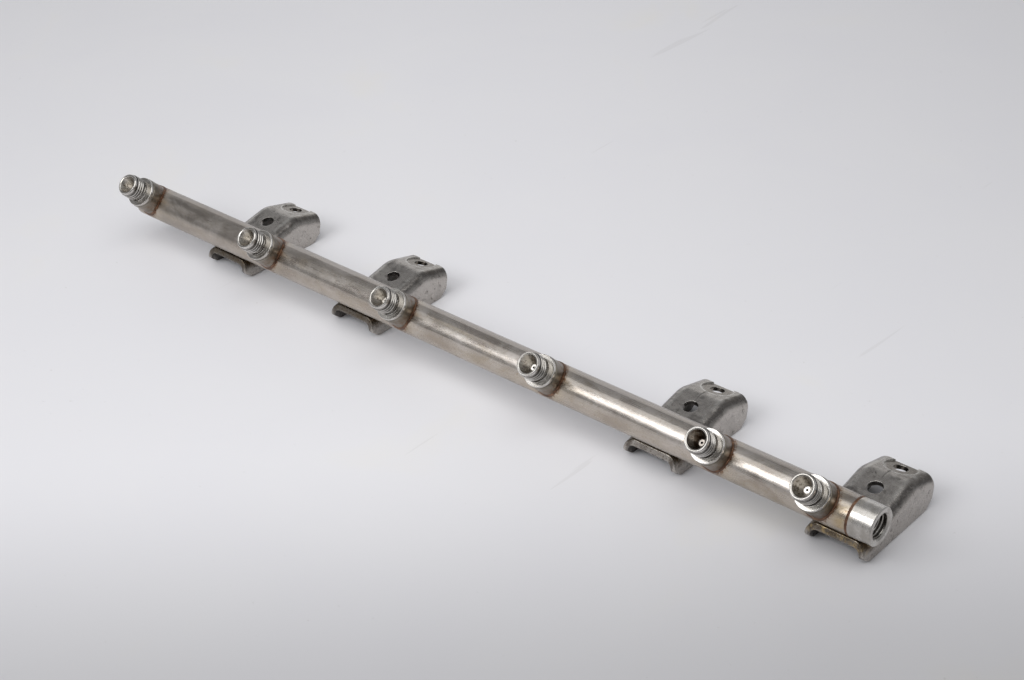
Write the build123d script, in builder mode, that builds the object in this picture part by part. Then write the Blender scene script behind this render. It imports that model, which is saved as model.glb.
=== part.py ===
from build123d import *
import os
from math import cos, radians, sin, sqrt, tan

os.makedirs("parts", exist_ok=True)

# ---------------------------------------------------------------------------
# Driving dimensions, in millimetres and degrees.
# X runs along the rail, -Y is the side the ports face, +Z is up.
# Z = 0 is the surface the four bracket feet stand on.
# ---------------------------------------------------------------------------

# Layout along the rail
injector_port_count = 5
port_pitch = 90.0
inlet_offset = 51.0              # last injector port to inlet port
closed_end_overhang = 9.2        # first port to the closed end of the tube
sensor_overhang = 25.5           # inlet port to the face of the sensor fitting
bracket_offsets = (54.5, 144.5, 325.0, 418.4)   # measured from the first port

# Thick-walled tube
axis_height = 19.2
tube_radius = 8.5
tube_bore_radius = 5.5
tube_edge = 0.5
plug_length = 5.0
plug_recess = 0.4
press_clearance = 0.05           # radial play of every brazed-in spigot and plug

# Threaded ports (M12 x 1.5, drawn at the pitch diameter)
port_tilt = 45.0                 # above horizontal
port_rim = 26.9                  # tube axis to the mouth face
port_thread_radius = 5.5
port_face_radius = 5.1           # outer edge of the mouth ring
port_face_land = 0.3             # flat part of the mouth ring
port_face_dish = 0.2             # fall from the land to the cone
port_thread_end = 19.8
port_relief_radius = 4.9
port_relief_end = 18.3
neck_radius = 6.0
collar_top = 16.5
collar_radius = 7.65
collar_edge = 0.2
collar_groove_top = 15.1
collar_groove_radius = 7.5
boss_top = 14.6
boss_radius = 7.8
boss_edge = 0.2

# Cone seat and drillings inside a port
seat_mouth_radius = 4.35
seat_half_angle = 30.0
seat_floor_radius = 1.5
seat_pocket = 0.6                # straight bottom below the cone
throttle_radius = 0.5
throttle_length = 3.0
feed_radius = 1.5
spigot_radius = 3.0
spigot_foot = 4.9                # tube axis to the inner end of the spigot

# Sensor fitting (M12 x 1.5 internal thread, drawn at the pitch diameter)
fitting_length = 11.2
fitting_spigot_length = 6.0
sensor_thread_radius = 5.5
sensor_mouth_radius = 6.3
sensor_thread_depth = 8.6
sensor_seat_angle = 30.0
sensor_feed_radius = 2.0
fitting_edge = 0.4

# Pressed channel brackets
sheet = 2.5
bracket_width = 27.0
wall_splay = 3.0
outer_bend = 5.6
plate_slope = 12.5               # plate climbs away from the ports
seat_slope = 15.5                # bolt seat falls towards the rear
lip_reach = 3.3                  # tube axis to the plate's front edge
crease_reach = 33.5
rear_reach = 49.6
crease_radius = 13.0
foot_corner = 4.0
foot_nose_reach = 4.9            # front feet lean forward to a blunt nose
foot_nose_height = 3.4
foot_nose_radius = 2.0
foot_front_reach = 0.5           # where the front feet meet the ground
foot_front_radius = 3.0
front_edge = 0.6                 # rounding round the outside of the front end
plate_hole_radius = 3.5          # coarse clearance for an M6 bolt
plate_hole_reach = 24.7
seat_hole_radius = 3.3           # medium clearance for an M6 bolt
seat_hole_margin = 4.9           # bolt hole to the rear edge, along the seat
coin_radius = 7.3
coin_depth = 0.6

# Braze
braze_gap = 0.1                  # tube to plate, filled with braze
saddle_gap = 0.05                # tube to port saddle
port_bead = 0.6
joint_groove = 0.6
joint_crown = 0.08
lip_bead = 3.7                   # half width of the bead under the tube

# ---------------------------------------------------------------------------
# Derived positions
# ---------------------------------------------------------------------------
first_to_inlet = (injector_port_count - 1) * port_pitch + inlet_offset
rail_length = closed_end_overhang + first_to_inlet + sensor_overhang
closed_end_x = -rail_length / 2
sensor_face_x = rail_length / 2
first_port_x = closed_end_x + closed_end_overhang
joint_x = sensor_face_x - fitting_length

tilt_cos = cos(radians(port_tilt))
tilt_sin = sin(radians(port_tilt))
port_reach = port_rim * tilt_cos + port_face_radius * tilt_sin
tube_axis_y = (port_reach - rear_reach) / 2

port_axis = Vector(0, -tilt_cos, tilt_sin)
port_line = Axis((0, 0, 0), port_axis)
port_section = Plane(origin=(0, 0, 0), x_dir=(1, 0, 0), z_dir=(0, -tilt_sin, -tilt_cos))
rail_section = Plane(origin=(0, tube_axis_y, axis_height), x_dir=(1, 0, 0), z_dir=(0, -1, 0))
rail_line = Axis((0, tube_axis_y, axis_height), (1, 0, 0))

injector_x = [first_port_x + index * port_pitch for index in range(injector_port_count)]
inlet_x = injector_x[-1] + inlet_offset
bracket_x = [first_port_x + offset for offset in bracket_offsets]

# The plate's top surface touches the tube from below, one braze gap away.
slope = radians(plate_slope)
contact_y = (tube_radius + braze_gap) * sin(slope)
contact_z = -(tube_radius + braze_gap) * cos(slope)
crease_z = contact_z + (crease_reach - contact_y) * tan(slope)


def on_axis(x):
    """A place on the tube's axis."""
    return (x, tube_axis_y, axis_height)


# ---------------------------------------------------------------------------
# Rail tube, with one cross drilling for every port
# ---------------------------------------------------------------------------
with BuildPart() as tube:
    with BuildSketch(rail_section):
        with BuildLine():
            Polyline(
                (closed_end_x, tube_bore_radius + tube_edge),
                (closed_end_x, tube_radius - tube_edge),
                (closed_end_x + tube_edge, tube_radius),
                (joint_x - joint_groove, tube_radius),
                (joint_x, tube_radius - joint_groove),
                (joint_x, tube_bore_radius),
                (closed_end_x + tube_edge, tube_bore_radius),
                close=True,
            )
        make_face()
    revolve(axis=rail_line)
    for port_x in injector_x + [inlet_x]:
        with BuildSketch(Plane(origin=on_axis(port_x), z_dir=port_axis)):
            Circle(spigot_radius)
        extrude(amount=2 * tube_radius, mode=Mode.SUBTRACT)
tube.part.label = "rail_tube"
export_step(tube.part, "parts/rail_tube.step")

# ---------------------------------------------------------------------------
# Plug in the closed end, and the braze in its mouth
# ---------------------------------------------------------------------------
plug_radius = tube_bore_radius - press_clearance
plug_face_x = closed_end_x + plug_recess
with BuildPart() as plug:
    with BuildSketch(Plane(origin=on_axis(plug_face_x), z_dir=(1, 0, 0))):
        Circle(plug_radius)
    extrude(amount=plug_length)
    chamfer(plug.edges().sort_by(Axis.X)[-1], tube_edge)
plug.part.label = "end_plug"
export_step(plug.part, "parts/end_plug.step")

with BuildPart() as plug_braze:
    with BuildSketch(rail_section):
        with BuildLine():
            Polyline(
                (plug_face_x - joint_crown, plug_radius),
                (closed_end_x + joint_crown, tube_bore_radius + tube_edge - joint_crown),
                (closed_end_x + tube_edge, tube_bore_radius),
                (closed_end_x + tube_edge, plug_radius),
                close=True,
            )
        make_face()
    revolve(axis=rail_line)
plug_braze.part.label = "plug_braze"
export_step(plug_braze.part, "parts/plug_braze.step")

# ---------------------------------------------------------------------------
# Sensor fitting: a turned end with a spigot in the tube, a threaded mouth and
# a cone seat at the bottom of the thread
# ---------------------------------------------------------------------------
fitting_spigot_radius = tube_bore_radius - press_clearance
thread_floor_x = sensor_face_x - sensor_thread_depth
seat_foot_x = thread_floor_x - (sensor_thread_radius - sensor_feed_radius) * tan(radians(sensor_seat_angle))
spigot_end_x = joint_x - fitting_spigot_length
with BuildPart() as fitting:
    with BuildSketch(rail_section):
        with BuildLine():
            Polyline(
                (spigot_end_x, sensor_feed_radius),
                (spigot_end_x, fitting_spigot_radius - fitting_edge),
                (spigot_end_x + fitting_edge, fitting_spigot_radius),
                (joint_x, fitting_spigot_radius),
                (joint_x, tube_radius - joint_groove),
                (joint_x + joint_groove, tube_radius),
                (sensor_face_x - fitting_edge, tube_radius),
                (sensor_face_x, tube_radius - fitting_edge),
                (sensor_face_x, sensor_mouth_radius),
                (sensor_face_x - sensor_mouth_radius + sensor_thread_radius, sensor_thread_radius),
                (thread_floor_x, sensor_thread_radius),
                (seat_foot_x, sensor_feed_radius),
                close=True,
            )
        make_face()
    revolve(axis=rail_line)
fitting.part.label = "sensor_fitting"
export_step(fitting.part, "parts/sensor_fitting.step")

with BuildPart() as fitting_braze:
    with BuildSketch(rail_section):
        with BuildLine():
            Polyline(
                (joint_x - joint_groove, tube_radius),
                (joint_x - joint_groove / 2, tube_radius + joint_crown),
                (joint_x + joint_groove / 2, tube_radius + joint_crown),
                (joint_x + joint_groove, tube_radius),
                (joint_x, tube_radius - joint_groove),
                close=True,
            )
        make_face()
    revolve(axis=rail_line)
fitting_braze.part.label = "fitting_braze"
export_step(fitting_braze.part, "parts/fitting_braze.step")

# ---------------------------------------------------------------------------
# Port nipple, built round the tube's axis: turned outside, saddle underneath
# ---------------------------------------------------------------------------
face_edge = port_thread_radius - port_face_radius
seat_mouth = port_rim - port_face_dish
seat_foot = seat_mouth - (seat_mouth_radius - seat_floor_radius) / tan(radians(seat_half_angle))
seat_floor = seat_foot - seat_pocket
with BuildPart() as nipple:
    with BuildSketch(port_section):
        with BuildLine():
            Polyline(
                (0, 0),
                (boss_radius, 0),
                (boss_radius, boss_top - boss_edge),
                (boss_radius - boss_edge, boss_top),
                (collar_groove_radius, boss_top),
                (collar_groove_radius, collar_groove_top),
                (collar_radius, collar_groove_top),
                (collar_radius, collar_top - collar_edge),
                (collar_radius - collar_edge, collar_top),
                (neck_radius, collar_top),
                (neck_radius, port_relief_end),
                (port_relief_radius, port_relief_end),
                (port_relief_radius, port_thread_end),
                (port_thread_radius - face_edge, port_thread_end),
                (port_thread_radius, port_thread_end + face_edge),
                (port_thread_radius, port_rim - face_edge),
                (port_face_radius, port_rim),
                (0, port_rim),
                close=True,
            )
        make_face()
    revolve(axis=port_line)
    # Saddle that straddles the tube
    with BuildSketch(Plane.YZ):
        Circle(tube_radius + saddle_gap)
    extrude(amount=2 * boss_radius, both=True, mode=Mode.SUBTRACT)
    # Spigot that drops into the tube's cross drilling
    with BuildSketch(Plane(origin=port_axis * spigot_foot, z_dir=port_axis)):
        Circle(spigot_radius - press_clearance)
    extrude(amount=boss_top - spigot_foot)
    # Cone seat, throttle and feed drilling
    with BuildSketch(port_section):
        with BuildLine():
            Polyline(
                (0, port_rim),
                (port_face_radius - port_face_land, port_rim),
                (seat_mouth_radius, seat_mouth),
                (seat_floor_radius, seat_foot),
                (seat_floor_radius, seat_floor),
                (throttle_radius, seat_floor),
                (throttle_radius, seat_floor - throttle_length),
                (feed_radius, seat_floor - throttle_length - feed_radius + throttle_radius),
                (feed_radius, spigot_foot),
                (0, spigot_foot),
                close=True,
            )
        make_face()
    revolve(axis=port_line, mode=Mode.SUBTRACT)

# ---------------------------------------------------------------------------
# Braze bead round the foot of a port
# ---------------------------------------------------------------------------
bead_foot = sqrt(tube_radius**2 - boss_radius**2)
with BuildPart() as port_bead_ring:
    with BuildSketch(Plane(origin=port_axis * bead_foot, z_dir=port_axis)):
        Circle(boss_radius + port_bead)
        Circle(boss_radius, mode=Mode.SUBTRACT)
    extrude(amount=boss_top - bead_foot)
    with BuildSketch(Plane.YZ):
        Circle(tube_radius + port_bead)
    extrude(amount=2 * boss_radius, both=True, mode=Mode.INTERSECT)
    with BuildSketch(Plane.YZ):
        Circle(tube_radius)
    extrude(amount=2 * boss_radius, both=True, mode=Mode.SUBTRACT)

port_names = [f"injector_nipple_{index + 1}" for index in range(injector_port_count)]
port_names.append("inlet_nipple")
for index, port_x in enumerate(injector_x + [inlet_x]):
    with BuildPart() as placed_nipple:
        with Locations(on_axis(port_x)):
            add(nipple.part)
    placed_nipple.part.label = port_names[index]
    export_step(placed_nipple.part, f"parts/{port_names[index]}.step")
    with BuildPart() as placed_bead:
        with Locations(on_axis(port_x)):
            add(port_bead_ring.part)
    placed_bead.part.label = f"port_braze_{index + 1}"
    export_step(placed_bead.part, f"parts/port_braze_{index + 1}.step")


# ---------------------------------------------------------------------------
# Pressed bracket: a channel with splayed walls whose top climbs to a soft
# crease and falls to a coined bolt seat. Built round the tube's axis.
# ---------------------------------------------------------------------------
fall = radians(seat_slope)
flare = tan(radians(wall_splay))


def channel_form(inset, overrun):
    """The bracket's envelope, moved inwards by inset and lengthened by overrun."""
    shift = inset * (1 / cos(slope) - 1 / cos(fall)) / (tan(slope) + tan(fall))
    crest_y = crease_reach + shift
    crest_z = crease_z + shift * tan(slope) - inset / cos(slope)
    floor_z = -axis_height - overrun
    if overrun:
        front_y = -foot_nose_reach - overrun
        front_end = [(front_y, floor_z)]
    else:
        front_y = -lip_reach
        front_end = [
            (-foot_front_reach, floor_z),
            (-foot_nose_reach, floor_z + foot_nose_height),
        ]
    front_z = crest_z - (crest_y - front_y) * tan(slope)
    rear_y = rear_reach + overrun
    rear_z = crest_z - (rear_y - crest_y) * tan(fall)
    half_width = bracket_width / 2 - inset / cos(radians(wall_splay))
    with BuildPart() as form:
        # Side view: lip, plate, crease, seat and the feet's ends
        with BuildSketch(Plane.YZ):
            with BuildLine():
                Polyline(
                    (front_y, front_z),
                    (crest_y, crest_z),
                    (rear_y, rear_z),
                    (rear_y - (rear_z - floor_z) * tan(fall), floor_z),
                    *front_end,
                    close=True,
                )
            make_face()
        extrude(amount=bracket_width, both=True)
        fillet(form.edges().filter_by(Axis.X).sort_by(Axis.Z)[-1], crease_radius - inset)
        # End view: walls that splay outwards towards the feet
        with BuildSketch(Plane.XZ):
            with BuildLine():
                Polyline(
                    (half_width - flare * sheet, crease_z + sheet),
                    (half_width + flare * (crease_z - floor_z), floor_z),
                    (-half_width - flare * (crease_z - floor_z), floor_z),
                    (-half_width + flare * sheet, crease_z + sheet),
                    close=True,
                )
            make_face()
        extrude(amount=2 * rear_reach, both=True, mode=Mode.INTERSECT)
        top_faces = form.faces().filter_by(lambda face: face.normal_at().Z > 0.5)
        bends = top_faces.edges().filter_by(Axis.X, reverse=True)
        fillet(bends, outer_bend - inset)
    return form.part


plate_hole_z = crease_z - (crease_reach - plate_hole_reach) * tan(slope)
plate_hole_plane = Plane(
    origin=(0, plate_hole_reach, plate_hole_z), x_dir=(1, 0, 0), z_dir=(0, -sin(slope), cos(slope))
)
seat_hole_run = (rear_reach - crease_reach) / cos(fall) - seat_hole_margin
seat_hole_y = crease_reach + seat_hole_run * cos(fall)
seat_hole_z = crease_z - seat_hole_run * sin(fall)
seat_plane = Plane(
    origin=(0, seat_hole_y, seat_hole_z), x_dir=(1, 0, 0), z_dir=(0, sin(fall), cos(fall))
)

channel_hollow = channel_form(sheet, sheet)
with BuildPart() as bracket:
    add(channel_form(0, 0))
    feet = bracket.edges().filter_by(Axis.X).group_by(Axis.Z)[0].sort_by(Axis.Y)
    chamfer(feet[-1], foot_corner)
    feet = bracket.edges().filter_by(Axis.X).group_by(Axis.Z)[0].sort_by(Axis.Y)
    fillet(feet[0], foot_front_radius)
    fillet(bracket.edges().filter_by(Axis.X).sort_by(Axis.Y)[0], foot_nose_radius)
    front = bracket.faces().filter_by(lambda face: face.normal_at().Y < -0.3).edges()
    lip = front.filter_by(Axis.X).sort_by(Axis.Z)[-1]
    fillet(front.filter_by(Axis.X, reverse=True) + [lip], front_edge)
    add(channel_hollow, mode=Mode.SUBTRACT)
    with BuildSketch(plate_hole_plane):
        Circle(plate_hole_radius)
    extrude(amount=2 * sheet, both=True, mode=Mode.SUBTRACT)
    with BuildSketch(seat_plane):
        Circle(coin_radius)
    extrude(amount=-coin_depth, mode=Mode.SUBTRACT)
    with BuildSketch(seat_plane):
        Circle(seat_hole_radius)
    extrude(amount=2 * sheet, both=True, mode=Mode.SUBTRACT)

# ---------------------------------------------------------------------------
# Braze bead between the tube and a bracket's lip
# ---------------------------------------------------------------------------
lip_plane = Plane(
    origin=(0, contact_y, contact_z), x_dir=(0, cos(slope), sin(slope)), z_dir=(1, 0, 0)
)
lip_half_length = bracket_width / 2 - outer_bend
bead_height = tube_radius - sqrt(tube_radius**2 - lip_bead**2) + braze_gap
with BuildPart() as lip_braze:
    with BuildSketch(lip_plane):
        with BuildLine():
            Polyline(
                (-lip_bead, 0),
                (lip_bead, 0),
                (lip_bead - bead_height / 2, bead_height),
                (-lip_bead + bead_height / 2, bead_height),
                close=True,
            )
        make_face()
    extrude(amount=lip_half_length, both=True)
    with BuildSketch(Plane.YZ):
        Circle(tube_radius)
    extrude(amount=bracket_width, both=True, mode=Mode.SUBTRACT)

for index, x in enumerate(bracket_x):
    with BuildPart() as placed_bracket:
        with Locations(on_axis(x)):
            add(bracket.part)
    placed_bracket.part.label = f"bracket_{index + 1}"
    export_step(placed_bracket.part, f"parts/bracket_{index + 1}.step")
    with BuildPart() as placed_lip_braze:
        with Locations(on_axis(x)):
            add(lip_braze.part)
        # The last bracket bridges the sensor fitting's joint
        add(fitting_braze.part, mode=Mode.SUBTRACT)
    placed_lip_braze.part.label = f"bracket_braze_{index + 1}"
    export_step(placed_lip_braze.part, f"parts/bracket_braze_{index + 1}.step")
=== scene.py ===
import math
from collections import namedtuple

import bpy
from mathutils import Matrix, Vector


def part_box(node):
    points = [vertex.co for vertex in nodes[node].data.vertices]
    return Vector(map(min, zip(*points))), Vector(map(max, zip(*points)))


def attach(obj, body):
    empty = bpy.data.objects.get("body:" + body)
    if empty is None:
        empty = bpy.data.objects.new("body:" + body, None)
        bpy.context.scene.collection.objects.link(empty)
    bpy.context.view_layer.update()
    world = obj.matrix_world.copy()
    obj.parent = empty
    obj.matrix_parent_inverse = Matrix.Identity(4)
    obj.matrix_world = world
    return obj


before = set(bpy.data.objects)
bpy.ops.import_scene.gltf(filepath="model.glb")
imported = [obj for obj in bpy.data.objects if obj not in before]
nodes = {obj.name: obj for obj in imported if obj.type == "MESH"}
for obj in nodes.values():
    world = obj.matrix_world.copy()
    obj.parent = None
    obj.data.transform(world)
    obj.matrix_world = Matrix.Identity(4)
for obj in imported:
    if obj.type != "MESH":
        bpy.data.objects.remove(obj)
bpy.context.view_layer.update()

MM = 0.001                       # every length is in metres


# ---------------------------------------------------------------------------
# Places, read from the frame
# ---------------------------------------------------------------------------
def middle(node):
    """Middle of a CAD node's box."""
    low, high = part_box(node)
    return (low + high) / 2


AXIS_Y = middle("rail_tube").y
AXIS_Z = middle("rail_tube").z
JOINT_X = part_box("rail_tube")[1].x               # where the tube meets the sensor fitting
SENSOR_FACE_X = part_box("sensor_fitting")[1].x
INJECTOR_XS = [middle(f"injector_nipple_{number}").x for number in range(1, 6)]
PORT_XS = INJECTOR_XS + [middle("inlet_nipple").x]
BRACKET_XS = [middle(f"bracket_{number}").x for number in range(1, 5)]
BOSS_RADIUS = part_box("inlet_nipple")[1].x - PORT_XS[-1]
PORT_TILT = math.radians(45.0)
PORT_AXIS = Vector((0.0, -math.cos(PORT_TILT), math.sin(PORT_TILT)))

# Along a port, from the tube's axis
FOOT_STAIN_START = 9.0 * MM
FOOT_STAIN_END = 14.5 * MM
FOOT_TINT_END = 15.2 * MM
COLLAR_TOP = 16.5 * MM
RELIEF_END = 19.8 * MM
CONE_BOTTOM = 21.1 * MM
# Painted shade between a port's thread ridges, from here to the next
GROOVE_SHADE_START = 18.55 * MM
GROOVE_SHADE_END = 25.55 * MM
RIM_START = 26.575 * MM

# Out from a port's own axis
INSIDE_RADIUS = 4.3 * MM
RIM_INNER_RADIUS = 4.525 * MM
RIM_OUTER_RADIUS = 5.025 * MM
RELIEF_RADIUS = 4.85 * MM        # just under the relief's surface
GROOVE_SHADE_RADIUS = 5.56 * MM         # painted shade up to here, between the ridges
GROOVE_SHADE_FAINT_RADIUS = 5.80 * MM         # painted shade at its faintest from here out
COLLAR_FLAT_RADIUS = 7.425 * MM

# Inside the sensor fitting: painted shade within this radius, from this far behind the face
SENSOR_SHADE_RADIUS = 5.65 * MM
SENSOR_SHADE_DEPTH = 0.7 * MM

# Along the rail: smudges fade out towards the middle of the tube, and soot along the brackets
SMUDGE_FULL_X = -190.0 * MM
SMUDGE_GONE_X = -40.0 * MM
SOOT_FULL_X = -90.0 * MM
SOOT_GONE_X = 0.0

# Across a bracket, from its middle
BURNISH_AND_HIGHLIGHT_REACH = 8.9 * MM
BEND_START = 10.3 * MM
BEND_END = 12.7 * MM
WALL_START = 12.9 * MM
SEAT_HALF_WIDTH = 11.5 * MM
FORMING_LINE_OFFSET = -0.5 * MM

# Back along a bracket
TUBE_SHADOW_Y = AXIS_Y - 2.2 * MM
LIP_Y = AXIS_Y + 5.0 * MM
LIP_Z = 6.0 * MM
FORMING_LINE_START_Y = AXIS_Y + 29.75 * MM
FORMING_LINE_END_Y = AXIS_Y + 38.0 * MM
SEAT_Y = AXIS_Y + 35.0 * MM
SEAT_HOLE_Y = AXIS_Y + 44.9 * MM
COIN_RADIUS = 7.3 * MM

# Turned rings, as features a metre
FINE_RINGS = 5200.0
SHOULDER_RINGS = 1700.0

# Threads, M12 x 1.5: where a ridge starts and stops along its axis, and the radii of its base and crest
Ridge = namedtuple("Ridge", "start stop base crest")
OUTER_RIDGE = Ridge(start=19.3 * MM, stop=25.4 * MM, base=5.45 * MM, crest=5.95 * MM)
INNER_RIDGE = Ridge(start=1.3 * MM, stop=8.0 * MM, base=5.55 * MM, crest=5.15 * MM)
THREAD_PITCH = 1.5 * MM
THREAD_FOOT = 0.48 * MM          # half width of the ridge at its foot
THREAD_LAND = 0.12 * MM          # and at its top
THREAD_STEPS = 48                # per turn
THREAD_FADE = 0.4                # turns that the ridge takes to rise

# Camera, solved from the photograph
CAMERA_PLACE = Vector((521.18, -551.04, 491.04)) * MM
CAMERA_HEADING = math.radians(42.3874)           # from +Y towards -X
CAMERA_PITCH = math.radians(-32.3187)
CAMERA_ROLL = math.radians(-2.1872)
FOCAL_LENGTH = 67.875            # millimetres, as Blender counts it
SENSOR_WIDTH = 36.0

# ---------------------------------------------------------------------------
# Linear colours
# ---------------------------------------------------------------------------
TUBE_DARK = (0.39, 0.345, 0.31)
TUBE_MID = (0.53, 0.488, 0.445)
TUBE_LIGHT = (0.64, 0.595, 0.56)
TUBE_STAIN = (0.37, 0.305, 0.215)
TUBE_DULL = (0.35, 0.315, 0.285)
TUBE_SMUDGE = (0.20, 0.178, 0.155)
TURNED_DARK = (0.42, 0.395, 0.36)
TURNED_MID = (0.60, 0.575, 0.54)
TURNED_LIGHT = (0.72, 0.70, 0.67)
FLAT_TINT = (0.27, 0.255, 0.23)
FOOT_TINT = (0.175, 0.150, 0.115)
CONE_TINT = (0.40, 0.37, 0.32)
SHEET_DARK = (0.115, 0.106, 0.100)
SHEET_MID = (0.425, 0.400, 0.374)
SHEET_LIGHT = (0.52, 0.493, 0.458)
SHEET_BROWN = (0.25, 0.20, 0.155)
WALL_PAINTED_LIGHT = (0.47, 0.44, 0.41)
SEAT_TINT = (0.20, 0.172, 0.140)
LIP_TINT = (0.12, 0.095, 0.066)
WEAR_AND_HIGHLIGHT = (0.66, 0.64, 0.60)
BRAZE_DARK = (0.050, 0.027, 0.017)
BRAZE_MID = (0.15, 0.075, 0.040)
BRAZE_LIGHT = (0.34, 0.20, 0.12)
OIL_AND_SHADE = (0.085, 0.078, 0.068)
RUST = (0.20, 0.105, 0.055)
STRAW = (0.55, 0.46, 0.33)
GOLD = (0.52, 0.38, 0.18)
COFFEE = (0.065, 0.040, 0.020)
TABLE_COOL = (0.870, 0.862, 0.885)
TABLE_MID = (0.880, 0.872, 0.890)
TABLE_WARM = (0.895, 0.875, 0.845)
TABLE_DUST = (0.45, 0.42, 0.38)
TABLE_HAIR = (0.50, 0.48, 0.46)
BLACK = (0.0, 0.0, 0.0)
WHITE = (1.0, 1.0, 1.0)
SOFTBOX_WHITE = (0.98, 0.985, 1.0)
ROOM_WHITE = (0.96, 0.97, 1.0)

# Stage. The table's painted shade changes between two distances from its middle, near ones
# towards the camera, and right and left ones to the camera's right
ROOM_LIGHT = 0.32
TABLE_SIZE = 8.0
TABLE_NEAR_SHADE = 0.42
TABLE_NEAR_REACH = (0.06, 0.25)
TABLE_SIDE_SHADE = 0.10
TABLE_RIGHT_REACH = (0.05, 0.45)
TABLE_LEFT_REACH = (-0.35, -0.05)


# ---------------------------------------------------------------------------
# Node-tree helpers
# ---------------------------------------------------------------------------
class Graph:
    """A short way to write a material's node tree."""

    def __init__(self, name):
        self.material = bpy.data.materials.new(name)
        self.material.use_nodes = True
        self.tree = self.material.node_tree
        self.tree.nodes.clear()
        self.out = self.tree.nodes.new("ShaderNodeOutputMaterial")
        self.shader = self.tree.nodes.new("ShaderNodeBsdfPrincipled")
        self.link(self.shader.outputs[0], self.out.inputs["Surface"])
        self.coords = self.tree.nodes.new("ShaderNodeTexCoord").outputs["Object"]
        self.split = self.tree.nodes.new("ShaderNodeSeparateXYZ")
        self.link(self.coords, self.split.inputs[0])
        self.x, self.y, self.z = self.split.outputs

    def link(self, source, target):
        self.tree.links.new(source, target)

    def put(self, value, socket):
        if isinstance(value, bpy.types.NodeSocket):
            self.link(value, socket)
        else:
            socket.default_value = value

    def math(self, operation, a, b=0.0):
        node = self.tree.nodes.new("ShaderNodeMath")
        node.operation = operation
        self.put(a, node.inputs[0])
        self.put(b, node.inputs[1])
        return node.outputs[0]

    def add(self, a, b):
        return self.math("ADD", a, b)

    def minus(self, a, b):
        return self.math("SUBTRACT", a, b)

    def times(self, first, *others):
        for other in others:
            first = self.math("MULTIPLY", first, other)
        return first

    def distance(self, a, b):
        """Length of the vector whose two parts are a and b."""
        return self.math("SQRT", self.add(self.times(a, a), self.times(b, b)))

    def noise(self, scale, detail=3.0, stretch=(1, 1, 1), rough=0.55, distortion=0.0):
        """Noise from 0 to 1, with about scale features a metre."""
        mapping = self.tree.nodes.new("ShaderNodeMapping")
        mapping.inputs["Scale"].default_value = stretch
        self.link(self.coords, mapping.inputs["Vector"])
        node = self.tree.nodes.new("ShaderNodeTexNoise")
        node.inputs["Scale"].default_value = scale
        node.inputs["Detail"].default_value = detail
        node.inputs["Roughness"].default_value = rough
        node.inputs["Distortion"].default_value = distortion
        self.link(mapping.outputs[0], node.inputs["Vector"])
        return node.outputs["Fac"]

    def rings(self, value, scale):
        """Fine turned rings: one-dimensional noise along value."""
        node = self.tree.nodes.new("ShaderNodeTexNoise")
        node.noise_dimensions = "1D"
        node.inputs["Scale"].default_value = scale
        node.inputs["Detail"].default_value = 3.0
        self.link(value, node.inputs["W"])
        return node.outputs["Fac"]

    def ramp(self, value, stops):
        node = self.tree.nodes.new("ShaderNodeValToRGB")
        while len(node.color_ramp.elements) < len(stops):
            node.color_ramp.elements.new(0.5)
        for element, (place, colour) in zip(node.color_ramp.elements, stops):
            element.position = place
            element.color = (*colour, 1.0)
        self.put(value, node.inputs[0])
        return node.outputs["Color"]

    def range(self, value, low, high, to_low=0.0, to_high=1.0, smooth=False):
        node = self.tree.nodes.new("ShaderNodeMapRange")
        node.interpolation_type = "SMOOTHSTEP" if smooth else "LINEAR"
        self.put(value, node.inputs["Value"])
        self.put(low, node.inputs["From Min"])
        self.put(high, node.inputs["From Max"])
        self.put(to_low, node.inputs["To Min"])
        self.put(to_high, node.inputs["To Max"])
        return node.outputs[0]

    def rise(self, value, place, blur, smooth=False):
        """0 before place and 1 after it, changing over the width of blur."""
        return self.range(value, place - blur / 2, place + blur / 2, 0.0, 1.0, smooth)

    def fall(self, value, place, blur, smooth=False):
        """1 before place and 0 after it, changing over the width of blur."""
        return self.range(value, place - blur / 2, place + blur / 2, 1.0, 0.0, smooth)

    def gap(self, value, places):
        """Distance along value to the nearest of the places."""
        least = None
        for place in places:
            one = self.math("ABSOLUTE", self.minus(value, place))
            least = one if least is None else self.math("MINIMUM", least, one)
        return least

    def near(self, value, places, width):
        """1 at each place along value, falling smoothly to 0 at width."""
        return self.range(self.gap(value, places), 0.0, width, 1.0, 0.0, smooth=True)

    def mix(self, amount, a, b):
        node = self.tree.nodes.new("ShaderNodeMix")
        node.data_type = "RGBA"
        self.put(amount, node.inputs["Factor"])
        self.put(a if isinstance(a, bpy.types.NodeSocket) else (*a, 1.0), node.inputs["A"])
        self.put(b if isinstance(b, bpy.types.NodeSocket) else (*b, 1.0), node.inputs["B"])
        return node.outputs["Result"]

    def bump(self, height, strength, distance, before=None):
        node = self.tree.nodes.new("ShaderNodeBump")
        node.inputs["Strength"].default_value = strength
        node.inputs["Distance"].default_value = distance
        self.put(height, node.inputs["Height"])
        if before is not None:
            self.link(before, node.inputs["Normal"])
        return node.outputs[0]

    def bevel(self, radius):
        """Normals that round off the mesh's sharp edges."""
        node = self.tree.nodes.new("ShaderNodeBevel")
        node.samples = 6
        node.inputs["Radius"].default_value = radius
        return node.outputs["Normal"]

    def wear(self, rounded):
        """1 on sharp edges, 0 on flats, from the rounded-off normals."""
        true_normal = self.tree.nodes.new("ShaderNodeNewGeometry").outputs["Normal"]
        node = self.tree.nodes.new("ShaderNodeVectorMath")
        node.operation = "DOT_PRODUCT"
        self.link(rounded, node.inputs[0])
        self.link(true_normal, node.inputs[1])
        return self.range(node.outputs["Value"], 0.995, 0.90)

    def finish(self, colour, roughness, metallic=1.0, normal=None):
        self.put(colour, self.shader.inputs["Base Color"])
        self.put(roughness, self.shader.inputs["Roughness"])
        self.put(metallic, self.shader.inputs["Metallic"])
        if normal is not None:
            self.link(normal, self.shader.inputs["Normal"])
        return self.material


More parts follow.
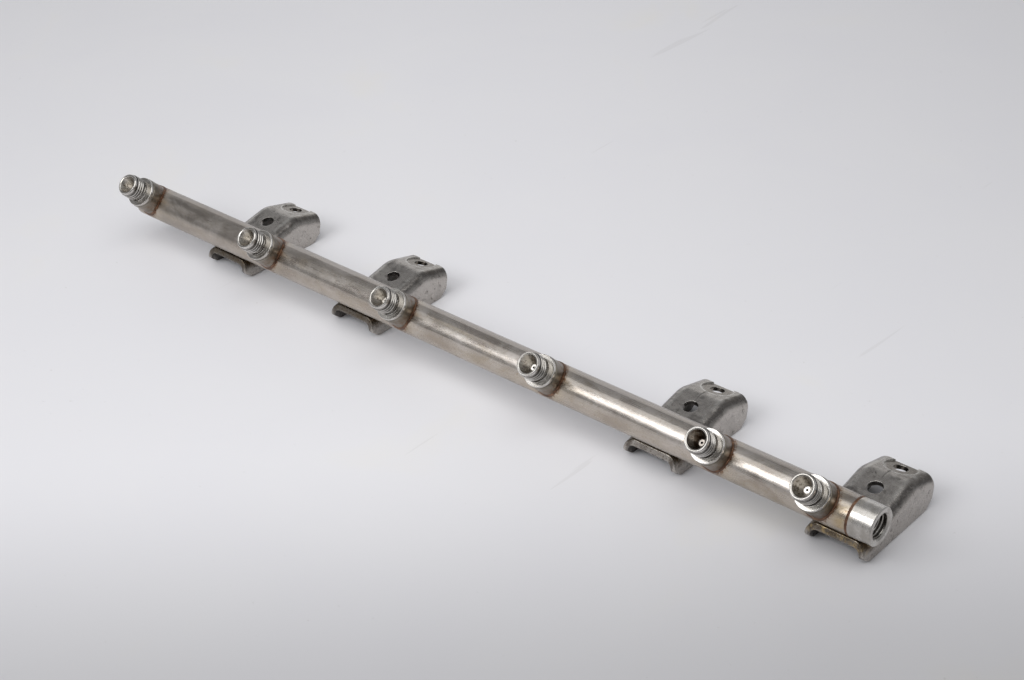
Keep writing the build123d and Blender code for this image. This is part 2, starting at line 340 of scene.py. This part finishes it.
# ---------------------------------------------------------------------------
# Tube
# ---------------------------------------------------------------------------
def port_place(g):
    """Distance along the nearest port's axis, and out from it."""
    y = g.minus(g.y, AXIS_Y)
    z = g.minus(g.z, AXIS_Z)
    along = g.minus(g.times(z, math.sin(PORT_TILT)), g.times(y, math.cos(PORT_TILT)))
    across = g.add(g.times(y, math.sin(PORT_TILT)), g.times(z, math.cos(PORT_TILT)))
    return along, g.distance(g.gap(g.x, PORT_XS), across)


def age_tube(g, colour, closed):
    """Browner below, where the brackets were brazed on, darker behind, smudged by the closed end."""
    browned = g.range(g.z, AXIS_Z + 1.0 * MM, AXIS_Z + 4.5 * MM, 0.26, 0.0)
    colour = g.mix(browned, colour, TUBE_STAIN)
    darker_behind = g.range(g.y, AXIS_Y - 1.5 * MM, AXIS_Y + 1.5 * MM, 0.0, 0.6)
    colour = g.mix(darker_behind, colour, TUBE_DULL)
    colour = g.mix(g.times(closed, 0.10), colour, TUBE_DULL)
    smudge = g.noise(75.0, 5.0, stretch=(0.6, 1, 1), distortion=0.9, rough=0.65)
    above = g.range(g.z, AXIS_Z + 1.0 * MM, AXIS_Z + 4.0 * MM, 0.35, 1.0)
    in_front = g.range(g.y, AXIS_Y - 3.0 * MM, AXIS_Y + 1.0 * MM, 1.0, 0.35)
    handled = g.times(above, in_front, closed)
    return g.mix(g.times(handled, g.range(smudge, 0.42, 0.60, 0.12, 0.80)), colour, TUBE_SMUDGE)


def tint_tube_at_ports(g, colour, cloud, speck):
    """Straw heat tint round each port, and rust along its braze."""
    along, radius = port_place(g)
    halo = g.range(radius, BOSS_RADIUS, BOSS_RADIUS + 7.0 * MM, 1.0, 0.0, smooth=True)
    halo = g.times(halo, g.rise(along, -1.0 * MM, 6.0 * MM))
    colour = g.mix(g.times(halo, g.range(cloud, 0.35, 0.65, 0.1, 0.45)), colour, STRAW)
    seam = g.fall(radius, BOSS_RADIUS + 1.4 * MM, 1.0 * MM)
    seam = g.times(seam, g.rise(along, 0.0, 2.0 * MM), g.range(speck, 0.40, 0.60))
    return g.mix(seam, colour, RUST)


def tint_tube_at_fitting(g, colour, mottle, speck):
    """Golden tint and rust where the sensor fitting was brazed on."""
    joint = g.rise(g.x, JOINT_X - 5.0 * MM, 8.0 * MM, smooth=True)
    colour = g.mix(g.times(joint, g.range(mottle, 0.46, 0.62, 0.0, 0.7)), colour, GOLD)
    return g.mix(g.times(joint, g.range(speck, 0.55, 0.68, 0.0, 0.7)), colour, RUST)


def tube_material():
    g = Graph("tube_steel")
    streak = g.noise(1500.0, 3.0, stretch=(0.03, 1, 1))
    mottle = g.noise(120.0, 4.0, stretch=(0.5, 1, 1), distortion=0.5)
    blotch = g.noise(60.0, 5.0, stretch=(0.4, 1, 1), distortion=1.2)
    cloud = g.noise(30.0, 2.0)
    speck = g.noise(900.0, 4.0, rough=0.7)
    closed = g.range(g.x, SMUDGE_FULL_X, SMUDGE_GONE_X, 1.0, 0.0)
    colour = g.ramp(mottle, [(0.32, TUBE_DARK), (0.50, TUBE_MID), (0.70, TUBE_LIGHT)])
    colour = g.mix(g.range(streak, 0.45, 0.75, 0.0, 0.22), colour, TUBE_DARK)
    colour = g.mix(g.range(speck, 0.50, 0.66, 0.0, 0.35), colour, TUBE_STAIN)
    colour = g.mix(g.range(blotch, 0.55, 0.70, 0.0, 0.45), colour, TUBE_STAIN)
    colour = g.mix(g.range(speck, 0.66, 0.74, 0.0, 0.75), colour, RUST)
    colour = age_tube(g, colour, closed)
    colour = tint_tube_at_ports(g, colour, cloud, speck)
    colour = tint_tube_at_fitting(g, colour, mottle, speck)
    rough = g.range(g.add(streak, mottle), 0.75, 1.25, 0.22, 0.35)
    rough = g.add(rough, g.times(closed, 0.06))
    normal = g.bump(streak, 0.12, 0.2 * MM)
    normal = g.bump(mottle, 0.16, 0.8 * MM, normal)
    return g.finish(colour, rough, normal=normal)


# ---------------------------------------------------------------------------
# Turned steel: ports, plug and sensor fitting
# ---------------------------------------------------------------------------
def turned_colour(g, mottle):
    return g.ramp(mottle, [(0.32, TURNED_DARK), (0.52, TURNED_MID), (0.72, TURNED_LIGHT)])


def shade_thread_grooves(g, colour, along, radius):
    """Painted shade between the ridges, a little less so in the relief."""
    threaded = g.times(g.rise(along, GROOVE_SHADE_START, 0.3 * MM), g.fall(along, GROOVE_SHADE_END, 0.5 * MM))
    threaded = g.times(threaded, g.rise(radius, RELIEF_RADIUS - 0.1 * MM, 0.1 * MM))
    groove = g.times(threaded, g.range(radius, GROOVE_SHADE_RADIUS, GROOVE_SHADE_FAINT_RADIUS, 0.93, 0.10))
    groove = g.times(groove, g.range(along, RELIEF_END - 0.6 * MM, RELIEF_END, 0.55, 1.0))
    return g.mix(groove, colour, OIL_AND_SHADE)


def dull_flats(g, colour, along, radius):
    """The collar's shoulder, with turned rings, and the rim of the mouth."""
    flat = g.times(g.near(along, [COLLAR_TOP], 0.12 * MM), g.fall(radius, COLLAR_FLAT_RADIUS, 0.15 * MM))
    flat = g.times(flat, g.range(g.rings(radius, SHOULDER_RINGS), 0.40, 0.60, 0.25, 0.80))
    colour = g.mix(flat, colour, FLAT_TINT)
    rim = g.times(g.rise(radius, RIM_INNER_RADIUS, 0.15 * MM), g.fall(radius, RIM_OUTER_RADIUS, 0.15 * MM))
    rim = g.times(g.rise(along, RIM_START, 0.15 * MM), rim)
    return g.mix(g.times(rim, 0.75), colour, FLAT_TINT)


def turned_material():
    g = Graph("turned_steel")
    along, radius = port_place(g)
    rings = g.rings(g.add(along, radius), FINE_RINGS)
    speck = g.noise(700.0, 4.0, rough=0.7)
    fine_speck = g.noise(900.0, 4.0, rough=0.7)
    mottle = g.noise(230.0, 3.0)
    colour = turned_colour(g, mottle)
    # Painted shade between the thread's ridges
    colour = shade_thread_grooves(g, colour, along, radius)
    colour = dull_flats(g, colour, along, radius)
    # Heat tint on the foot, browner towards the braze
    foot = g.times(g.fall(along, FOOT_TINT_END, 0.8 * MM), g.range(mottle, 0.3, 0.6, 0.62, 0.97))
    colour = g.mix(foot, colour, FOOT_TINT)
    stain = g.range(along, FOOT_STAIN_START, FOOT_STAIN_END, 0.85, 0.0)
    colour = g.mix(g.times(stain, g.range(speck, 0.42, 0.62)), colour, RUST)
    # Inside the cone, flecked, and blackened in the fifth port
    inside = g.times(g.fall(radius, INSIDE_RADIUS, 0.2 * MM), g.rise(along, CONE_BOTTOM, 0.6 * MM))
    colour = g.mix(g.times(inside, 0.40), colour, CONE_TINT)
    colour = g.mix(g.times(inside, g.range(fine_speck, 0.53, 0.62, 0.0, 0.75)), colour, COFFEE)
    dirty = g.times(inside, g.near(g.x, [PORT_XS[4]], 9.0 * MM))
    colour = g.mix(g.times(dirty, g.range(mottle, 0.47, 0.53, 0.35, 1.0)), colour, COFFEE)
    rough = g.range(g.add(speck, mottle), 0.7, 1.3, 0.16, 0.30)
    rough = g.add(rough, g.times(foot, 0.12))
    rough = g.add(rough, g.times(inside, 0.07))
    normal = g.bevel(0.18 * MM)
    normal = g.bump(rings, 0.16, 0.06 * MM, normal)
    normal = g.bump(speck, 0.03, 0.2 * MM, normal)
    return g.finish(colour, rough, normal=normal)


def fitting_material():
    g = Graph("fitting_steel")
    radius = g.distance(g.minus(g.y, AXIS_Y), g.minus(g.z, AXIS_Z))
    rings = g.rings(g.add(g.x, radius), FINE_RINGS)
    speck = g.noise(800.0, 4.0, rough=0.7)
    mottle = g.noise(160.0, 3.0)
    colour = turned_colour(g, mottle)
    colour = g.mix(g.range(speck, 0.64, 0.72, 0.0, 0.5), colour, OIL_AND_SHADE)
    # Straw tint beside the braze
    tint = g.range(g.x, JOINT_X, JOINT_X + 4.0 * MM, 0.6, 0.0)
    colour = g.mix(g.times(tint, g.range(mottle, 0.4, 0.6)), colour, STRAW)
    # Painted shade between the ridges of the inside thread
    inside = g.times(
        g.fall(radius, SENSOR_SHADE_RADIUS, 0.3 * MM),
        g.fall(g.x, SENSOR_FACE_X - SENSOR_SHADE_DEPTH, 0.4 * MM),
    )
    colour = g.mix(g.times(inside, g.range(radius, 5.2 * MM, 5.45 * MM, 0.05, 0.6)), colour, OIL_AND_SHADE)
    rough = g.range(g.add(speck, mottle), 0.7, 1.3, 0.20, 0.34)
    normal = g.bevel(0.25 * MM)
    normal = g.bump(rings, 0.15, 0.06 * MM, normal)
    normal = g.bump(speck, 0.03, 0.2 * MM, normal)
    return g.finish(colour, rough, normal=normal)


# ---------------------------------------------------------------------------
# Pressed steel: brackets
# ---------------------------------------------------------------------------
def sheet_colour(g, aside, cloud, scuff, grain):
    """Side walls lighter with painted light, bends beside the plate darker with painted shade, a painted
    highlight along a line of burnish inside each bend.
    """
    colour = g.ramp(cloud, [(0.22, SHEET_DARK), (0.46, SHEET_MID), (0.78, SHEET_LIGHT)])
    # Painted light: the side walls lighter, standing for the bright table they reflect
    wall = g.rise(aside, WALL_START, 1.0 * MM)
    colour = g.mix(g.times(wall, 0.6), colour, WALL_PAINTED_LIGHT)
    # Painted shade: a dark band in each bend, standing for the dark room it reflects
    bend = g.times(g.rise(aside, BEND_START, 1.4 * MM), g.fall(aside, BEND_END, 1.0 * MM))
    colour = g.mix(g.times(bend, 0.8), colour, SHEET_DARK)
    colour = g.mix(g.range(scuff, 0.52, 0.70, 0.0, 0.6), colour, SHEET_LIGHT)
    colour = g.mix(g.range(scuff, 0.44, 0.34, 0.0, 0.75), colour, OIL_AND_SHADE)
    colour = g.mix(g.range(grain, 0.56, 0.70, 0.0, 0.45), colour, SHEET_BROWN)
    # Painted highlight along a line of burnish inside each bend
    burnish_and_highlight = g.near(aside, [BURNISH_AND_HIGHLIGHT_REACH], 1.3 * MM)
    return g.mix(g.times(burnish_and_highlight, g.range(cloud, 0.42, 0.56, 0.15, 0.6)), colour, WEAR_AND_HIGHLIGHT)


def tint_seat(g, colour, aside, cloud, scuff):
    """Browner behind the crease, darkest inside the coined ring, bright scuffs along its rim."""
    seat = g.times(g.rise(g.y, SEAT_Y, 4.0 * MM), g.fall(aside, SEAT_HALF_WIDTH, 2.0 * MM))
    colour = g.mix(g.times(seat, g.range(cloud, 0.38, 0.58, 0.55, 0.25)), colour, SEAT_TINT)
    radius = g.distance(aside, g.minus(g.y, SEAT_HOLE_Y))
    coined = g.fall(radius, COIN_RADIUS - 0.9 * MM, 0.8 * MM)
    colour = g.mix(g.times(coined, g.range(scuff, 0.42, 0.58, 0.75, 0.30)), colour, SEAT_TINT)
    rim = g.near(radius, [COIN_RADIUS], 1.0 * MM)
    return g.mix(g.times(rim, g.range(scuff, 0.42, 0.56, 0.25, 0.95)), colour, WEAR_AND_HIGHLIGHT)


def forming_line(g):
    """Line left by forming on the last two brackets, from the plate hole over the crease."""
    line = g.near(g.x, [x + FORMING_LINE_OFFSET for x in BRACKET_XS[2:]], 0.55 * MM)
    line = g.times(line, g.rise(g.y, FORMING_LINE_START_Y, 2.5 * MM))
    return g.times(line, g.fall(g.y, FORMING_LINE_END_Y, 2.0 * MM))


def tint_lip(g, colour, front, cloud, scuff, grain):
    """Burnt lip under the tube, paler on bracket 3, sooty on 1 and 2, golden on 4, with painted shadow of
    the tube along its seam.
    """
    lip = g.times(front, g.rise(g.z, LIP_Z, 4.0 * MM))
    pale = g.near(g.x, [BRACKET_XS[2]], 60.0 * MM)
    browned = g.times(g.range(cloud, 0.38, 0.58, 0.70, 0.97), g.range(pale, 0.0, 1.0, 1.0, 0.45))
    colour = g.mix(g.times(lip, browned), colour, LIP_TINT)
    sooty = g.times(lip, g.range(g.x, SOOT_FULL_X, SOOT_GONE_X, 0.65, 0.0))
    colour = g.mix(g.times(sooty, g.range(cloud, 0.60, 0.40, 0.5, 1.0)), colour, OIL_AND_SHADE)
    golden = g.times(lip, g.rise(g.x, BRACKET_XS[3] - 14.0 * MM, 4.0 * MM))
    colour = g.mix(g.times(golden, g.range(scuff, 0.50, 0.60, 0.0, 0.60)), colour, GOLD)
    # Painted shadow of the tube along the lip's seam
    seam = g.times(lip, g.rise(g.y, TUBE_SHADOW_Y, 1.0 * MM))
    colour = g.mix(g.times(seam, g.range(scuff, 0.62, 0.46, 0.2, 0.95)), colour, COFFEE)
    return g.mix(g.times(lip, g.range(grain, 0.54, 0.62, 0.0, 0.8)), colour, COFFEE)


def pressed_material():
    g = Graph("pressed_steel")
    cloud = g.noise(130.0, 5.0, rough=0.6, distortion=0.9)
    scuff = g.noise(340.0, 6.0, rough=0.75, distortion=0.4)
    drag = g.noise(420.0, 4.0, stretch=(1, 0.12, 0.12))
    grain = g.noise(1500.0, 3.0, rough=0.6)
    aside = g.gap(g.x, BRACKET_XS)
    front = g.fall(g.y, LIP_Y, 8.0 * MM, smooth=True)
    line = forming_line(g)
    rounded = g.bevel(0.35 * MM)
    colour = sheet_colour(g, aside, cloud, scuff, grain)
    colour = tint_seat(g, colour, aside, cloud, scuff)
    # Painted shade along the forming line's crease
    colour = g.mix(g.times(line, 0.6), colour, OIL_AND_SHADE)
    colour = tint_lip(g, colour, front, cloud, scuff, grain)
    edge = g.times(g.wear(rounded), g.range(front, 0.0, 1.0, 1.0, 0.45))
    colour = g.mix(g.times(edge, g.range(scuff, 0.35, 0.55, 0.25, 0.75)), colour, WEAR_AND_HIGHLIGHT)
    rough = g.range(g.add(scuff, cloud), 0.7, 1.3, 0.20, 0.34)
    normal = g.bump(scuff, 0.18, 0.3 * MM, rounded)
    normal = g.bump(grain, 0.10, 0.1 * MM, normal)
    normal = g.bump(drag, 0.12, 0.3 * MM, normal)
    normal = g.bump(cloud, 0.06, 1.0 * MM, normal)
    normal = g.bump(line, 0.5, -0.2 * MM, normal)
    return g.finish(colour, rough, normal=normal)


# ---------------------------------------------------------------------------
# Braze
# ---------------------------------------------------------------------------
def braze_material():
    g = Graph("braze")
    blotch = g.noise(420.0, 5.0, rough=0.7)
    colour = g.ramp(blotch, [(0.34, BRAZE_DARK), (0.52, BRAZE_MID), (0.72, BRAZE_LIGHT)])
    rough = g.range(blotch, 0.3, 0.8, 0.38, 0.60)
    normal = g.bump(blotch, 0.6, 0.3 * MM)
    return g.finish(colour, rough, 0.5, normal)


# ---------------------------------------------------------------------------
# Materials on the CAD nodes
# ---------------------------------------------------------------------------
TUBE = tube_material()
TURNED = turned_material()
FITTING = fitting_material()
PRESSED = pressed_material()
BRAZE = braze_material()


def material_for(name):
    if "braze" in name:
        return BRAZE
    if name.startswith("bracket"):
        return PRESSED
    return {"rail_tube": TUBE, "sensor_fitting": FITTING}.get(name, TURNED)


for node_name in nodes:
    mesh = nodes[node_name].data
    mesh.materials.clear()
    mesh.materials.append(material_for(node_name))


# ---------------------------------------------------------------------------
# Threads: one helical ridge on each port, and one inside the sensor fitting
# ---------------------------------------------------------------------------
def ridge_section(ridge, fade, middle_place, starts_in_relief):
    """The ridge's four corners at one step, as (place along the axis, radius)."""
    top = ridge.base + (ridge.crest - ridge.base) * fade
    corners = []
    for offset in (-THREAD_FOOT, -THREAD_LAND, THREAD_LAND, THREAD_FOOT):
        place = middle_place + offset
        radius = top if abs(offset) == THREAD_LAND else ridge.base
        if abs(offset) == THREAD_FOOT and starts_in_relief and place < RELIEF_END:
            radius = RELIEF_RADIUS
        corners.append((place, radius))
    return corners


def add_thread(name, origin, along, ridge, material, starts_in_relief=False):
    """A right-hand ridge that rises at its start and runs out at its end."""
    side = Vector((1, 0, 0)) if abs(along.x) < 0.5 else Vector((0, 1, 0))
    other = along.cross(side)
    turns = (ridge.stop - ridge.start) / THREAD_PITCH
    vertices = []
    faces = []
    for step in range(int(turns * THREAD_STEPS) + 1):
        turned = step / THREAD_STEPS
        fade = max(min(1.0, turned / THREAD_FADE, (turns - turned) / THREAD_FADE), 0.0)
        angle = 2 * math.pi * turned
        outward = side * math.cos(angle) + other * math.sin(angle)
        middle_place = ridge.start + turned * THREAD_PITCH
        for place, radius in ridge_section(ridge, fade, middle_place, starts_in_relief):
            vertices.append(origin + along * place + outward * radius)
        if step:
            new = 4 * step
            old = new - 4
            for edge in range(3):
                faces.append((old + edge, new + edge, new + edge + 1, old + edge + 1))
    mesh = bpy.data.meshes.new(name)
    mesh.from_pydata([tuple(vertex) for vertex in vertices], [], faces)
    mesh.update()
    mesh.materials.append(material)
    piece = bpy.data.objects.new(name, mesh)
    bpy.context.scene.collection.objects.link(piece)
    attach(piece, "root")


for number, port_x in enumerate(PORT_XS, 1):
    label = f"injector_thread_{number}" if port_x in INJECTOR_XS else "inlet_thread"
    foot = Vector((port_x, AXIS_Y, AXIS_Z))
    add_thread(label, foot, PORT_AXIS, OUTER_RIDGE, TURNED, starts_in_relief=True)
sensor_mouth = Vector((SENSOR_FACE_X, AXIS_Y, AXIS_Z))
add_thread("sensor_thread", sensor_mouth, Vector((-1, 0, 0)), INNER_RIDGE, FITTING)


# ---------------------------------------------------------------------------
# Stage: table, lights, camera
# ---------------------------------------------------------------------------
def table_material():
    """Pale, faintly dusty and scratched, with painted shade darker towards the camera and, a little, to
    both sides.
    """
    g = Graph("table")
    cloud = g.noise(9.0, 4.0, distortion=0.5)
    dust = g.noise(320.0, 3.0, rough=0.6)
    hairs = g.noise(60.0, 2.0, stretch=(1, 0.05, 1), distortion=1.5)
    colour = g.ramp(cloud, [(0.38, TABLE_COOL), (0.60, TABLE_MID), (0.80, TABLE_WARM)])
    colour = g.mix(g.range(dust, 0.70, 0.78, 0.0, 0.30), colour, TABLE_DUST)
    colour = g.mix(g.range(hairs, 0.735, 0.745, 0.0, 0.12), colour, TABLE_HAIR)
    ahead_x = -math.sin(CAMERA_HEADING)
    ahead_y = math.cos(CAMERA_HEADING)
    near = g.add(g.times(g.x, -ahead_x), g.times(g.y, -ahead_y))
    side = g.minus(g.times(g.x, ahead_y), g.times(g.y, ahead_x))
    # Painted shade on the table, towards the camera and to both sides
    shaded_near = g.range(near, *TABLE_NEAR_REACH, 0.0, TABLE_NEAR_SHADE, smooth=True)
    colour = g.mix(shaded_near, colour, BLACK)
    colour = g.mix(g.range(side, *TABLE_RIGHT_REACH, 0.0, TABLE_SIDE_SHADE), colour, BLACK)
    colour = g.mix(g.range(side, *TABLE_LEFT_REACH, TABLE_SIDE_SHADE, 0.0), colour, BLACK)
    return g.finish(colour, 0.6, 0.0)


bpy.ops.mesh.primitive_plane_add(size=TABLE_SIZE, location=(0, 0, 0))
floor = bpy.context.object
floor.name = "table_top"
floor.data.materials.append(table_material())

world = bpy.data.worlds.new("studio")
bpy.context.scene.world = world
world.use_nodes = True
background = world.node_tree.nodes["Background"]
background.inputs["Color"].default_value = (*ROOM_WHITE, 1.0)
background.inputs["Strength"].default_value = ROOM_LIGHT


def softbox(name, place, target, size, radiance, colour=WHITE):
    """An area light at place that faces target, equally bright whatever its size."""
    light = bpy.data.lights.new(name, "AREA")
    light.shape = "RECTANGLE"
    light.size, light.size_y = size
    light.energy = radiance * math.pi * size[0] * size[1]
    light.color = colour
    lamp = bpy.data.objects.new(name, light)
    bpy.context.scene.collection.objects.link(lamp)
    lamp.location = place
    lamp.rotation_euler = (Vector(target) - Vector(place)).to_track_quat("-Z", "Y").to_euler()


# The long highlight on the tube's sensor half
softbox(
    "softbox_key",
    place=(-0.287, -1.04, 0.92),
    target=(0, 0, 0),
    size=(0.98, 0.62),
    radiance=4.0,
    colour=SOFTBOX_WHITE,
)
# A soft shoulder above that highlight
softbox(
    "softbox_fill",
    place=(-0.60, -0.42, 1.4),
    target=(-0.60, -0.42, 0),
    size=(0.8, 0.9),
    radiance=0.78,
)
# Light from above for the table and the brackets
softbox(
    "softbox_top",
    place=(0.45, -0.35, 1.4),
    target=(0, 0, 0),
    size=(1.3, 1.3),
    radiance=1.65,
)
# The pale line along the tube's top, weaker towards the sensor end
softbox(
    "softbox_rear",
    place=(-1.9, 1.9, 0.75),
    target=(-0.5, 0, 0.3),
    size=(2.6, 1.3),
    radiance=0.54,
    colour=SOFTBOX_WHITE,
)

camera_data = bpy.data.cameras.new("camera")
camera_data.lens = FOCAL_LENGTH
camera_data.sensor_width = SENSOR_WIDTH
camera_data.clip_start = 0.01
camera_data.clip_end = 50.0
camera = bpy.data.objects.new("camera", camera_data)
bpy.context.scene.collection.objects.link(camera)
turn = (
    Matrix.Rotation(CAMERA_HEADING, 4, "Z")
    @ Matrix.Rotation(math.pi / 2 + CAMERA_PITCH, 4, "X")
    @ Matrix.Rotation(CAMERA_ROLL, 4, "Z")
)
camera.matrix_world = Matrix.Translation(CAMERA_PLACE) @ turn
bpy.context.scene.camera = camera
bpy.context.scene.view_settings.view_transform = "Standard"
